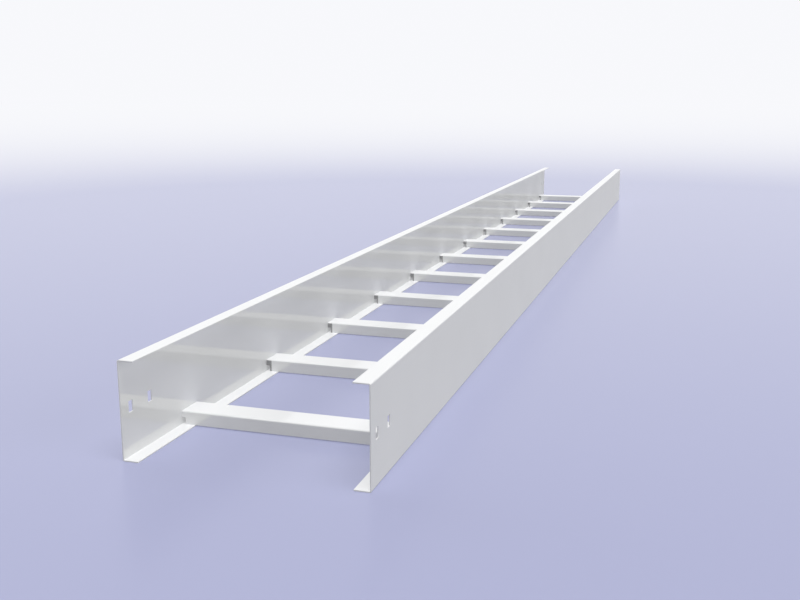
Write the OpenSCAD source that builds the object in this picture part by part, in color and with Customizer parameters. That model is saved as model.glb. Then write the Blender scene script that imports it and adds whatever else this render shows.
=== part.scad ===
// Straight cable ladder section: two folded side rails and a row of rungs seated between them.
// Millimetres, +Z up, length along Y, origin at the middle of the underside.

/* [Section] */
// Length of the section
section_length = 3000; // [1000:50:6000]
// Width over the outer faces of the side rails
section_width = 300; // [150:10:900]

/* [Side rails] */
// Height of a side rail
rail_height = 120; // [80:5:200]
// Width of a rail's flanges, from the outer face of the web to the free edge
rail_flange = 20; // [16:1:40]
// Thickness of the rails' sheet
rail_sheet = 1.5; // [1:0.1:3]
// Inner radius of the rails' bends
rail_bend = 0.5; // [0.2:0.1:2]

/* [Splice slots] */
// Number of slots at each end of a rail
slot_count = 2; // [1:1:3]
// Length of a slot, along the rail
slot_length = 8.5; // [5:0.5:20]
// Height of a slot, up the web
slot_height = 13.5; // [5:0.5:30]
// Distance from the rail's end to the middle of its first slot
slot_end = 20; // [15:1:40]
// Spacing of the slots, middle to middle
slot_pitch = 40; // [25:1:80]

/* [Rungs] */
// Distance from the rails' near end to the middle of the first rung
rung_first = 150; // [60:5:300]
// Spacing of the rungs, middle to middle
rung_pitch = 250; // [150:10:500]
// Least length of rail that stays clear past the last rung
rung_clear = 70; // [20:5:200]
// Width of a rung's top plate
rung_width = 40; // [20:1:80]
// Height of a rung, from the flanges that it stands on to its top
rung_height = 17.5; // [16:0.5:50]
// Thickness of the rungs' sheet
rung_sheet = 1.5; // [1:0.1:3]
// Inner radius of the rungs' bends
rung_bend = 0.5; // [0.2:0.1:2]
// Length of the notch that frees a leg's lower corner from the rail's bend
notch_length = 5.5; // [4:0.5:9]
// Height of that notch
notch_height = 9; // [3:0.5:10]

/* [Hidden] */
// Segments of a full circle in the bends
$fn = 48;
// How far a cutting body runs past the faces that it cuts
cut_margin = 1;
// Length of a rung, from web to web
rung_span = section_width - 2 * rail_sheet;
// Length of rail along which the middles of the rungs can lie
rung_room = section_length - rung_first - rung_width / 2 - rung_clear;
// Number of rungs that fit at their spacing
rung_count = 1 + floor(rung_room / rung_pitch);

function rung_name(number) = str("rung_", number < 10 ? "0" : "", number);

function rung_place(number) = -section_length / 2 + rung_first + (number - 1) * rung_pitch;

// Section of one bend: a quarter ring about the origin, in the quadrant where X and Y are negative
module bend_section(inner, sheet) {
    outer = inner + sheet;
    intersection() {
        difference() {
            circle(r = outer);
            circle(r = inner);
        }
        translate([-outer, -outer])
            square(outer);
    }
}

// Section of a sheet folded to a channel: the web goes up Y from the origin, both flanges along X
module channel_section(web, flange, sheet, inner) {
    corner = inner + sheet;
    translate([0, corner])
        square([sheet, web - 2 * corner]);
    for (side = [0, 1])
        translate([0, side * web])
            mirror([0, side])
                translate([corner, 0]) {
                    square([flange - corner, sheet]);
                    translate([0, corner])
                        bend_section(inner, sheet);
                }
}

// The splice slots at both ends of the left rail, as bodies to cut away
module splice_slots() {
    for (end = [-1, 1])
        for (step = [0 : slot_count - 1])
            translate([0, end * (section_length / 2 - slot_end - step * slot_pitch), rail_height / 2])
                cube([2 * (rail_sheet + cut_margin), slot_length, slot_height], center = true);
}

// Left side rail: web outside, both flanges turned in towards the rungs
module side_rail_left() {
    color("gainsboro")
        translate([-section_width / 2, 0, 0])
            difference() {
                translate([0, section_length / 2, 0])
                    rotate([90, 0, 0])
                        linear_extrude(height = section_length)
                            channel_section(rail_height, rail_flange, rail_sheet, rail_bend);
                splice_slots();
            }
}

// Right side rail: the left one, mirrored
module side_rail_right() {
    mirror([1, 0, 0])
        side_rail_left();
}

// The notches under both ends of a rung, as bodies to cut away from its two legs
module leg_notches() {
    for (end = [-1, 1])
        translate([end * rung_span / 2, 0, 0])
            cube([2 * notch_length, rung_width + 2 * cut_margin, 2 * notch_height], center = true);
}

// One rung: a channel with its open side down, standing on the bottom flanges, its ends against the webs
module rung(number) {
    color("whitesmoke")
        translate([0, rung_place(number), rail_sheet])
            difference() {
                translate([-rung_span / 2, 0, 0])
                    rotate([90, 0, 90])
                        linear_extrude(height = rung_span)
                            translate([-rung_width / 2, rung_height])
                                rotate(-90)
                                    channel_section(rung_width, rung_height, rung_sheet, rung_bend);
                leg_notches();
            }
}

side_rail_left();
side_rail_right();
for (number = [1 : rung_count])
    rung(number);
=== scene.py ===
# %% [markdown]
# # A straight cable ladder section
#
# A cable ladder carries cables through a building. Two side rails run along it, and the cables lie on the
# rungs between them. Every piece is a strip of thin steel sheet that is punched, folded and coated white.
#
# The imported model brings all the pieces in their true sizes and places. It is loaded first and stays where
# it is. Its edges are knife sharp, though, and light slides past such edges. So this lesson makes each sheet
# once more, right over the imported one, with round bends and broken edges that catch a line of light.

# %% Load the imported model
import math

import bmesh
import bpy
from mathutils import Matrix, Vector


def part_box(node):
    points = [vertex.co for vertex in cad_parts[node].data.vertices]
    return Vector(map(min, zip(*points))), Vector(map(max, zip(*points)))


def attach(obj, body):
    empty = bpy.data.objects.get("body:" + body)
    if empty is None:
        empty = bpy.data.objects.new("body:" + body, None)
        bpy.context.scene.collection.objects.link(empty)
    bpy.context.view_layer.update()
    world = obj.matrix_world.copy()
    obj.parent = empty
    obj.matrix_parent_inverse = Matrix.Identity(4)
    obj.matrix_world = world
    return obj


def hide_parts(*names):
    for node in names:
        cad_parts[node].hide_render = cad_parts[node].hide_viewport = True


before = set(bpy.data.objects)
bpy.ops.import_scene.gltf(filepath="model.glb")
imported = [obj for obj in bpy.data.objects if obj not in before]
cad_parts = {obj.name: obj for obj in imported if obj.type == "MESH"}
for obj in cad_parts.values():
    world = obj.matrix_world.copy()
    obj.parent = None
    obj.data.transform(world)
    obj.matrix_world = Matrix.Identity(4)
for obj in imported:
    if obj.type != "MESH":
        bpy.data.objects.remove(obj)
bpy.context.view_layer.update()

rung_names = sorted(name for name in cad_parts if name.startswith("rung_"))
print("pieces in the packed model:", len(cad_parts), "of which rungs:", len(rung_names))

# %% [markdown]
# ## Sizes
#
# Sizes can be typed in or measured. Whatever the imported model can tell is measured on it, so that the two
# can't drift apart. A rung stands on the bottom flanges of the rails, so the height of its underside is the
# thickness of the sheet. The box around a piece says nothing about a bend, a slot or a notch, so these few
# are typed in, in metres.

# %% Measure the folded sheets
rail_low, rail_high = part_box("side_rail_left")
RAIL_LENGTH = rail_high.y - rail_low.y
RAIL_HEIGHT = rail_high.z - rail_low.z
RAIL_FLANGE = rail_high.x - rail_low.x

rung_low, rung_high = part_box(rung_names[0])
RUNG_LENGTH = rung_high.x - rung_low.x
RUNG_WIDTH = rung_high.y - rung_low.y
RUNG_HEIGHT = rung_high.z - rung_low.z

SHEET = rung_low.z - rail_low.z
INNER_BEND = 0.0005
OUTER_BEND = INNER_BEND + SHEET
print(f"rail {RAIL_LENGTH:.3f} m long, {RAIL_HEIGHT * 1000:.1f} x {RAIL_FLANGE * 1000:.1f} mm")
print(f"rung {RUNG_LENGTH:.3f} m long, {RUNG_WIDTH * 1000:.1f} x {RUNG_HEIGHT * 1000:.1f} mm")
print(f"sheet {SHEET * 1000:.2f} mm, outside of the bends {OUTER_BEND * 1000:.2f} mm")

# %% [markdown]
# ## Folding a sheet
#
# In the workshop a rail starts as a flat strip. A press brake folds it twice along its length, and it comes
# out as a channel. A box with its middle cut away would give the same outline, but with sharp corners, and
# it is the round bends that show that this is folded sheet. So the model is folded too. A flat grid is
# the web, its two long edges are extruded to make the flanges, and the fold lines are bevelled round.
# The channel lies along Y, with its web upright in the plane X = 0 and its flanges towards +X.

# %% Fold the rail's strip
BEND_STEPS = 8


def fold_channel(length, web, flange):
    strip = bmesh.new()
    stand_up = Matrix.Translation((0, 0, web / 2)) @ Matrix.Rotation(-math.pi / 2, 4, "Y")
    size = Matrix.Diagonal((web, length, 1, 1))
    bmesh.ops.create_grid(strip, x_segments=1, y_segments=1, size=0.5, matrix=stand_up @ size)
    long_edges = [edge for edge in strip.edges if edge.calc_length() > (web + length) / 2]
    turned = bmesh.ops.extrude_edge_only(strip, edges=long_edges)["geom"]
    free_corners = [part for part in turned if isinstance(part, bmesh.types.BMVert)]
    bmesh.ops.translate(strip, verts=free_corners, vec=(flange, 0, 0))
    fold_lines = [edge for edge in strip.edges if len(edge.link_faces) == 2]
    bends = bmesh.ops.bevel(
        strip, geom=fold_lines, affect="EDGES", offset=OUTER_BEND, offset_type="OFFSET",
        segments=BEND_STEPS, profile=0.5, material=-1,
    )
    for face in bends["faces"]:
        face.smooth = True
    return strip


rail_strip = fold_channel(RAIL_LENGTH, RAIL_HEIGHT, RAIL_FLANGE)
print("folded rail:", len(rail_strip.faces), "faces, of which", 2 * BEND_STEPS, "in the bends")

# %% [markdown]
# ## Punching the slots
#
# A rail has two square-cornered slots at each end, half-way up the web. Bolts go through them and hold a
# splice plate that joins the next section. A boolean would cut the slots as well, but it leaves long thin
# triangles that shade badly. Here the sheet is scored along the sides of a slot, and the face inside drops
# out as it does under a punch. This comes before the sheet gets its thickness, so the walls of the slots
# will be made along with it.

# %% Punch the rail's slots
SLOTS_AT_AN_END = 2
SLOT_LENGTH = 0.0085
SLOT_HEIGHT = 0.0135
SLOT_FROM_END = 0.020
SLOT_SPACING = 0.040
SNAP = 1e-7


def punch(strip, low, high):
    for axis, across in enumerate(Matrix.Identity(3)):
        for place in (low[axis], high[axis]):
            if math.isfinite(place):
                whole = strip.verts[:] + strip.edges[:] + strip.faces[:]
                bmesh.ops.bisect_plane(
                    strip, geom=whole, dist=SNAP, plane_co=across * place, plane_no=across,
                )
    inside = []
    for face in strip.faces:
        middle = face.calc_center_median()
        if all(low[axis] < middle[axis] < high[axis] for axis in range(3)):
            inside.append(face)
    bmesh.ops.delete(strip, geom=inside, context="FACES")
    return len(inside)


punched = 0
for end in (-1, 1):
    for step in range(SLOTS_AT_AN_END):
        middle = end * (RAIL_LENGTH / 2 - SLOT_FROM_END - step * SLOT_SPACING)
        slot_low = (-math.inf, middle - SLOT_LENGTH / 2, (RAIL_HEIGHT - SLOT_HEIGHT) / 2)
        slot_high = (math.inf, middle + SLOT_LENGTH / 2, (RAIL_HEIGHT + SLOT_HEIGHT) / 2)
        punched += punch(rail_strip, slot_low, slot_high)
print("slots punched:", punched)

# %% [markdown]
# ## Thickness and edges
#
# So far the strip is only the outer skin of the sheet. Solidify lays a second skin inside it, at the
# thickness of the steel, and closes the rim, so the outer sizes stay as they are. A sheared edge is never
# quite sharp once it has been deburred and coated. Each outer edge therefore gets a tiny round, which a
# camera sees as a bright line. The edges in the hollow of a corner are left alone.

# %% Give the rail's sheet its thickness
BROKEN_EDGE = 0.0002
EDGE_STEPS = 2
SHARP = math.radians(60)


def thicken(strip):
    bmesh.ops.solidify(strip, geom=strip.faces[:], thickness=SHEET)
    bmesh.ops.recalc_face_normals(strip, faces=strip.faces[:])
    sharp = [edge for edge in strip.edges if edge.is_manifold and edge.calc_face_angle_signed() > SHARP]
    rounds = bmesh.ops.bevel(
        strip, geom=sharp, affect="EDGES", offset=BROKEN_EDGE, offset_type="OFFSET",
        segments=EDGE_STEPS, profile=0.5, material=-1,
    )
    for face in rounds["faces"]:
        face.smooth = True
    return sum(not edge.is_manifold for edge in strip.edges)


open_edges = thicken(rail_strip)
print("thick rail:", len(rail_strip.faces), "faces,", open_edges, "open edges")

# %% [markdown]
# ## The side rails
#
# Both rails come from one strip. A mirrored copy would do for the right rail, but a mirror turns the faces
# inside out. The strip looks the same from either end, so half a turn about the upright axis gives the same
# rail with its faces the right way round.

# %% Place both rails
def place_piece(strip, place, name, node):
    shape = strip.copy()
    shape.transform(place)
    mesh = bpy.data.meshes.new(name)
    shape.to_mesh(mesh)
    shape.free()
    piece = bpy.data.objects.new(name, mesh)
    bpy.context.scene.collection.objects.link(piece)
    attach(piece, "root")
    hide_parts(node)
    return piece


at_left = Matrix.Translation((rail_low.x, (rail_low.y + rail_high.y) / 2, rail_low.z))
half_turn = Matrix.Diagonal((-1, -1, 1, 1))
rails = [
    place_piece(rail_strip, at_left, "rail_left", "side_rail_left"),
    place_piece(rail_strip, half_turn @ at_left, "rail_right", "side_rail_right"),
]
rail_strip.free()
print("rails:", [rail.name for rail in rails])

# %% [markdown]
# ## The rungs
#
# A rung is a smaller channel with its open side down. Its top plate reaches from web to web, and its legs
# stand on the bottom flanges. Where the rail bends from web to flange there is no room for a sharp corner,
# so a notch takes the lower corner off both ends of each leg. The rung goes through the same steps as the
# rail: fold, punch, thicken. One strip is enough, because every rung is a copy of it. Its length
# turns from Y to X, and its legs from +X to straight down.

# %% Make the rungs
NOTCH_LENGTH = 0.0055
NOTCH_HEIGHT = 0.009

rung_strip = fold_channel(RUNG_LENGTH, RUNG_WIDTH, RUNG_HEIGHT)
notched = 0
for end in (-1, 1):
    near, far = sorted((end * (RUNG_LENGTH / 2 - NOTCH_LENGTH), end * math.inf))
    notch_low = (RUNG_HEIGHT - NOTCH_HEIGHT, near, -math.inf)
    notched += punch(rung_strip, notch_low, (math.inf, far, math.inf))
open_edges = thicken(rung_strip)
print("thick rung:", len(rung_strip.faces), "faces,", notched, "notches,", open_edges, "open edges")

legs_down = Matrix(((0, 1, 0, 0), (0, 0, -1, 0), (-1, 0, 0, 0), (0, 0, 0, 1)))
rungs = []
for name in rung_names:
    low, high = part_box(name)
    place = Matrix.Translation(((low.x + high.x) / 2, high.y, high.z)) @ legs_down
    rungs.append(place_piece(rung_strip, place, name + "_sheet", name))
rung_strip.free()
print("rungs placed:", len(rungs))

# %% [markdown]
# ## Arithmetic for shaders
#
# A finish is a small calculation that is done for each point of a surface. Blender writes it as a tree of
# nodes, which takes a line for every node and another for every link. One small class makes it read like
# ordinary arithmetic. It holds the output of a node. Its operators add Math nodes, also with a plain number
# on the left, and `add_node` adds any other node.

# %% Write the class and open the first material
class Signal:
    def __init__(self, tree, socket=None):
        self.tree = tree
        self.socket = socket

    def add_node(self, kind, settings, inputs, output=0):
        node = self.tree.nodes.new(kind)
        for name, value in settings.items():
            setattr(node, name, value)
        for name, value in inputs.items():
            if isinstance(value, Signal):
                self.tree.links.new(value.socket, node.inputs[name])
            else:
                node.inputs[name].default_value = value
        return Signal(self.tree, node.outputs[output] if node.outputs else None)

    def maths(self, operation, *values):
        return self.add_node("ShaderNodeMath", {"operation": operation}, dict(enumerate(values)))

    def __add__(self, other):
        return self.maths("ADD", self, other)

    def __radd__(self, other):
        return self.maths("ADD", other, self)

    def __mul__(self, other):
        return self.maths("MULTIPLY", self, other)

    def __rmul__(self, other):
        return self.maths("MULTIPLY", other, self)

    def __rtruediv__(self, other):
        return self.maths("DIVIDE", other, self)

    def __gt__(self, other):
        return self.maths("GREATER_THAN", self, other)

    def __lt__(self, other):
        return self.maths("LESS_THAN", self, other)

    def __abs__(self):
        return self.maths("ABSOLUTE", self)


def new_material(name):
    material = bpy.data.materials.new(name)
    material.use_nodes = True
    material.node_tree.nodes.clear()
    return material, Signal(material.node_tree)


plain_coat, plain_start = new_material("white_coat")
print("opened the material", plain_coat.name)

# %% [markdown]
# ## The white coat
#
# The steel is powder coated. A plastic powder is blown on and baked until it flows into a smooth skin, which
# is glossy enough to mirror the rungs in the rails. A plain plastic mirrors little when it is faced and
# nearly all at a flat angle, and that would turn the far end of a rail into a looking glass. This coat shows
# the same faint image from end to end, as powders with fine bright flakes do. So a small share of the
# surface counts as metal, and the plastic's own mirror is turned off.
#
# The skin is never quite even. Its white and its gloss drift a little within a hand's breadth, and its
# surface keeps a fine ripple like the peel of an orange. Painted pictures could bring that in, but noise
# needs no unwrapping and doesn't repeat along three metres. It is laid out in the pieces' own coordinates,
# so it stays the same from every side.

# %% Coat the rails and the first rung
COAT_WHITE = (0.84, 0.845, 0.85, 1)
COAT_DEEPER = (0.80, 0.805, 0.81, 1)
DRIFT_SCALE = 9.0
DRIFT_DETAIL = 2.0
PEEL_SCALE = 420.0
PEEL_DETAIL = 1.0
PEEL_DEPTH = 0.000001
SMOOTHEST = 0.015
DULLING = 0.02
MIRROR_SHARE = 0.18
FIRST_COLOUR, SECOND_COLOUR, MIXED_COLOUR = 6, 7, 2


def noise(start, scale, detail):
    here = start.add_node("ShaderNodeTexCoord", {}, {}, "Object")
    inputs = {"Vector": here, "Scale": scale, "Detail": detail}
    return start.add_node("ShaderNodeTexNoise", {}, inputs, "Fac")


def blend(factor, first, second):
    inputs = {"Factor": factor, FIRST_COLOUR: first, SECOND_COLOUR: second}
    return factor.add_node("ShaderNodeMix", {"data_type": "RGBA"}, inputs, MIXED_COLOUR)


def coat_layers(start):
    drift = noise(start, DRIFT_SCALE, DRIFT_DETAIL)
    return blend(drift, COAT_WHITE, COAT_DEEPER), SMOOTHEST + DULLING * drift


def coat_surface(start, colour, roughness):
    peel = {"Distance": PEEL_DEPTH, "Height": noise(start, PEEL_SCALE, PEEL_DETAIL)}
    ripple = start.add_node("ShaderNodeBump", {}, peel)
    inputs = {
        "Base Color": colour, "Roughness": roughness, "Normal": ripple,
        "Metallic": MIRROR_SHARE, "Specular IOR Level": 0.0,
    }
    surface = start.add_node("ShaderNodeBsdfPrincipled", {}, inputs)
    start.add_node("ShaderNodeOutputMaterial", {}, {"Surface": surface})


coat_surface(plain_start, *coat_layers(plain_start))
for piece in [*rails, rungs[0]]:
    piece.data.materials.append(plain_coat)
print("nodes in the coat:", len(plain_coat.node_tree.nodes))

# %% [markdown]
# ## Painted shade at the joints
#
# From the second rung on, the ends of the legs next to the web are painted mid grey. This is painted shade:
# it stands in for the shade of a recess where the rung meets the rail. It is matt, and its edge is uneven.
# It could be a thin dark sheet laid over the leg, but a colour needs no thickness. So it is mixed into the
# coat wherever a point of the rung is near enough to the web and below the bend of the top plate. A little
# noise is added to the distance, and that roughens the edge.

# %% Paint shade on the joints of the other rungs
# The grey is painted shade on the leg ends, where the rung meets the rail.
JOINT_SHADE_GREY = (0.36, 0.36, 0.365, 1)
JOINT_SHADE_DARK = (0.31, 0.31, 0.315, 1)
JOINT_SHADE_LENGTH = 0.0083
JOINT_SHADE_MATT = 0.5
SHADE_EDGE_SCALE = 600.0
SHADE_EDGE_DETAIL = 1.0
SHADE_EDGE_REACH = 0.0008

shaded_joint_coat, shaded_joint_start = new_material("white_coat_painted_joint_shade")
colour, roughness = coat_layers(shaded_joint_start)
shade_edge_noise = noise(shaded_joint_start, SHADE_EDGE_SCALE, SHADE_EDGE_DETAIL)
here = shaded_joint_start.add_node("ShaderNodeTexCoord", {}, {}, "Object")
across = shaded_joint_start.add_node("ShaderNodeSeparateXYZ", {}, {"Vector": here}, "X")
height = shaded_joint_start.add_node("ShaderNodeSeparateXYZ", {}, {"Vector": here}, "Z")
shade_starts = RUNG_LENGTH / 2 - JOINT_SHADE_LENGTH + SHADE_EDGE_REACH / 2
shade_top = rung_high.z - OUTER_BEND / 2
# The mask of the painted shade: near the web and below the bend of the top plate.
shaded = (abs(across) + SHADE_EDGE_REACH * shade_edge_noise > shade_starts) * (height < shade_top)
colour = blend(shaded, colour, blend(shade_edge_noise, JOINT_SHADE_GREY, JOINT_SHADE_DARK))
coat_surface(shaded_joint_start, colour, roughness + JOINT_SHADE_MATT * shaded)
for piece in rungs[1:]:
    piece.data.materials.append(shaded_joint_coat)
print("rungs with primed joints:", len(rungs[1:]), "nodes:", len(shaded_joint_coat.node_tree.nodes))

# %% [markdown]
# ## The floor
#
# The section lies flat on a plain floor. A square plate would do, but its corners would stand out in a view
# from the side. A disc ends at the same distance all around, and forty metres take its rim close to the
# horizon. The floor only serves the picture.

# %% Lay the floor
FLOOR_RADIUS = 40.0
FLOOR_SIDES = 96

disc = bmesh.new()
bmesh.ops.create_circle(disc, cap_ends=True, segments=FLOOR_SIDES, radius=FLOOR_RADIUS)
floor_mesh = bpy.data.meshes.new("floor")
disc.to_mesh(floor_mesh)
disc.free()
floor = bpy.data.objects.new("floor", floor_mesh)
bpy.context.scene.collection.objects.link(floor)
print(f"floor: a disc with {FLOOR_SIDES} sides, {FLOOR_RADIUS:.0f} m in radius")

# %% [markdown]
# ## The paint of the floor
#
# White steel on a white floor would lose its edges, so the paint is a pale blue. The floor has to end
# somewhere, and a hard horizon would draw the eye. A curved backdrop is the way of a photo studio. Here the
# paint gives way to a haze in the colour of the backdrop, more and more with the distance from the middle.
# The haze is a glow, and Cycles is told not to look for light in it. A coloured floor would tint all that
# stands on it. So the blue and the haze are only for rays that look at the floor, from the camera or by way
# of gloss or glass. In the soft light that the floor throws back it is grey.

# %% Paint the floor
FLOOR_BLUE = (0.36, 0.375, 0.55, 1)
FLOOR_BOUNCE = (0.36, 0.36, 0.36, 1)
BACKDROP = (0.935, 0.94, 0.97, 1)
FLOOR_ROUGHNESS = 0.25
FLOOR_SPECULAR = 0.2
HAZE_START = 2.2


def looked_at(start):
    camera = start.add_node("ShaderNodeLightPath", {}, {}, "Is Camera Ray")
    gloss = start.add_node("ShaderNodeLightPath", {}, {}, "Is Glossy Ray")
    glass = start.add_node("ShaderNodeLightPath", {}, {}, "Is Transmission Ray")
    return camera + gloss + glass


floor_paint, floor_start = new_material("floor_paint")
seen = looked_at(floor_start)
here = floor_start.add_node("ShaderNodeTexCoord", {}, {}, "Object")
distance = floor_start.add_node("ShaderNodeVectorMath", {"operation": "LENGTH"}, {0: here}, "Value")
haze = floor_start.add_node(
    "ShaderNodeMapRange", {"interpolation_type": "SMOOTHSTEP"},
    {"Value": HAZE_START / distance, "From Min": 1.0, "From Max": HAZE_START / FLOOR_RADIUS},
)
paint = floor_start.add_node(
    "ShaderNodeBsdfPrincipled", {},
    {
        "Base Color": blend(seen, FLOOR_BOUNCE, FLOOR_BLUE),
        "Roughness": FLOOR_ROUGHNESS, "Specular IOR Level": FLOOR_SPECULAR,
    },
)
glow = floor_start.add_node("ShaderNodeEmission", {}, {"Color": BACKDROP})
hazy = floor_start.add_node("ShaderNodeMixShader", {}, {0: seen * haze, 1: paint, 2: glow})
floor_start.add_node("ShaderNodeOutputMaterial", {}, {"Surface": hazy})
floor_paint.cycles.emission_sampling = "NONE"
floor_mesh.materials.append(floor_paint)
print(f"nodes in the paint: {len(floor_paint.node_tree.nodes)}, haze from {HAZE_START} m on")

# %% [markdown]
# ## Light
#
# Flat sheets show their shape only when each direction they face has a tone of its own. A big soft lamp
# overhead makes the flanges and the tops of the rungs the brightest faces. Two weaker lamps give the sides
# and the back a grey each. Area lamps would do, but over three metres their light falls off, and the far
# end would sink into the dark. Sun lamps don't fall off, and a wide angle makes their shadows soft. They
# are hidden from the gloss, which would show them as glare. It mirrors the floor, the backdrop and the other
# pieces instead.
#
# Under the top flanges and in the notches it would still be too dark. In a white room such places get light
# from every wall. Here a second overhead lamp that casts no shadow brings it in.

# %% Hang the lamps
FROM_ABOVE = (-0.21, 0.17, -1.00)

# Each lamp has the direction it shines in, its strength, its width in degrees, and a shadow or none.
LAMPS = {
    "overhead": (FROM_ABOVE, 1.12, 40, True),
    "room": (FROM_ABOVE, 1.77, 40, False),
    "side": ((-0.90, 0.15, -0.22), 0.74, 50, True),
    "back": ((0.75, -0.58, -0.20), 0.95, 60, True),
}


def hang_lamp(name, shines_towards, strength, spread, casts_shadow):
    lamp = bpy.data.lights.new(name, "SUN")
    lamp.energy = strength
    lamp.angle = math.radians(spread)
    lamp.use_shadow = casts_shadow
    holder = bpy.data.objects.new(name, lamp)
    holder.rotation_euler = Vector(shines_towards).to_track_quat("-Z", "Y").to_euler()
    holder.visible_glossy = False
    bpy.context.scene.collection.objects.link(holder)
    print(f"lamp {name}: strength {strength}, {spread} degrees wide")


for name, setting in LAMPS.items():
    hang_lamp(name, *setting)

# %% [markdown]
# ## Backdrop
#
# The world around the scene does two jobs. It is the pale backdrop that the camera and the gloss see, and
# it is the dim light from all around that fills the shadows. One brightness can't do both well: a backdrop
# that is nearly white would wash the shadows out. So, as on the floor, the colour is chosen by the kind of
# ray that asks.

# %% Set the backdrop
SKY_LIGHT = (0.19, 0.19, 0.19, 1)

world = bpy.data.worlds.new("studio")
world.use_nodes = True
world.node_tree.nodes.clear()
sky = Signal(world.node_tree)
sky_colour = blend(looked_at(sky), SKY_LIGHT, BACKDROP)
all_around = sky.add_node("ShaderNodeBackground", {}, {"Color": sky_colour})
sky.add_node("ShaderNodeOutputWorld", {}, {"Surface": all_around})
bpy.context.scene.world = world
print("nodes in the world:", len(world.node_tree.nodes))

# %% [markdown]
# ## Camera
#
# The camera stands beyond the near end, to the right of the section and a little above it, so that the rails
# run away from it into depth. How fast they grow smaller depends on where the camera stands, and how big
# they look on its lens. Both were found by matching the corners of the pieces in the picture.

# %% Place the camera
PICTURE_WIDTH = 800
FOCAL_IN_PIXELS = 961
SENSOR_WIDTH = 36.0
CAMERA_PLACE = (0.4614, -2.3924, 0.4104)
LOOKS_DOWN = 12.11
LOOKS_LEFT = 17.41

lens = bpy.data.cameras.new("camera")
lens.sensor_width = SENSOR_WIDTH
lens.lens = SENSOR_WIDTH * FOCAL_IN_PIXELS / PICTURE_WIDTH
camera = bpy.data.objects.new("camera", lens)
camera.location = CAMERA_PLACE
camera.rotation_euler = (math.radians(90 - LOOKS_DOWN), 0, math.radians(LOOKS_LEFT))
bpy.context.scene.collection.objects.link(camera)
bpy.context.scene.camera = camera
print(f"lens {lens.lens:.2f} mm, {Vector(CAMERA_PLACE).length:.2f} m from the middle of the section")

# %% [markdown]
# ## Colours
#
# The Standard view shows colours about as they were written, where the filmic ones would grey the white
# coat.

# %% Finish
bpy.context.scene.view_settings.view_transform = "Standard"
